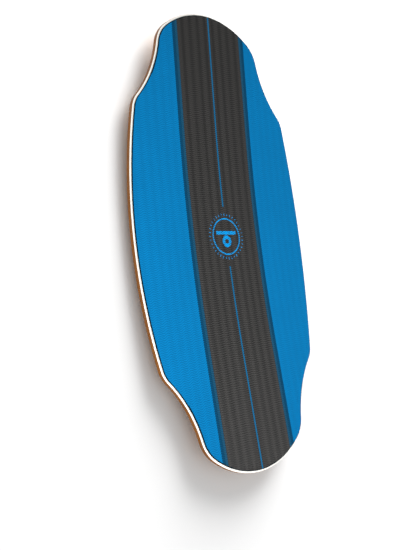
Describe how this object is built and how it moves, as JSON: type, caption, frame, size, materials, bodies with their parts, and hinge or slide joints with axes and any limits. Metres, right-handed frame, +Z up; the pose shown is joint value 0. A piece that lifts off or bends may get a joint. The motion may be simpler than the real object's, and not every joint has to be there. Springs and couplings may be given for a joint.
{
  "type": "balance board deck",
  "caption": "Rockered plywood balance board deck with a waisted outline, a ribbed foam foot pad and bolted stop bars underneath, to ride on a loose roller.",
  "frame": {"origin": "on the ground, under the middle of the board as it lies on its two stop bars", "axes": "+X across the board to the right, +Y along the board to the nose, +Z up out of the pad"},
  "size_m": [0.38, 0.759, 0.0403],
  "materials": {
    "maple_veneer": "clear satin lacquer over warm brown maple, layers seen on the edge",
    "white_top_veneer": "gloss white lacquer",
    "adhesive": "thin tacky film, hidden",
    "foam_base": "closed-cell foam, matte",
    "foam_blue": "closed-cell foam, matte, fine wavy cross ribs",
    "foam_charcoal": "closed-cell foam, matte, fine wavy cross ribs",
    "foam_navy": "closed-cell foam, matte",
    "foam_slate_blue": "closed-cell foam, matte",
    "foam_line_blue": "closed-cell foam, matte",
    "foam_bright_blue": "closed-cell foam, matte",
    "stop_wood": "clear satin lacquer",
    "bumper_rubber": "matte black rubber",
    "zinc_steel": "bright zinc plate"
  },
  "bodies": {
    "root": {"deck_ply_1": "maple_veneer", "deck_ply_2": "maple_veneer", "deck_ply_3": "maple_veneer", "deck_ply_4": "maple_veneer", "deck_ply_5": "maple_veneer", "deck_ply_6": "maple_veneer", "deck_ply_7": "maple_veneer", "deck_top_veneer": "white_top_veneer", "pad_adhesive": "adhesive", "pad_base": "foam_base", "pad_side_left": "foam_blue", "pad_side_right": "foam_blue", "pad_centre": "foam_charcoal", "stripe_outer_left": "foam_navy", "stripe_outer_right": "foam_navy", "stripe_inner_left": "foam_slate_blue", "stripe_inner_right": "foam_slate_blue", "centre_line_nose": "foam_line_blue", "centre_line_tail": "foam_line_blue", "emblem_mark": "foam_bright_blue", "emblem_ticks": "foam_bright_blue", "stop_bar_nose": "stop_wood", "stop_bar_tail": "stop_wood", "bumper_nose": "bumper_rubber", "bumper_tail": "bumper_rubber", "stop_bolts": "zinc_steel", "stop_washers": "zinc_steel", "tee_nuts": "zinc_steel"}
  },
  "joints": []
}
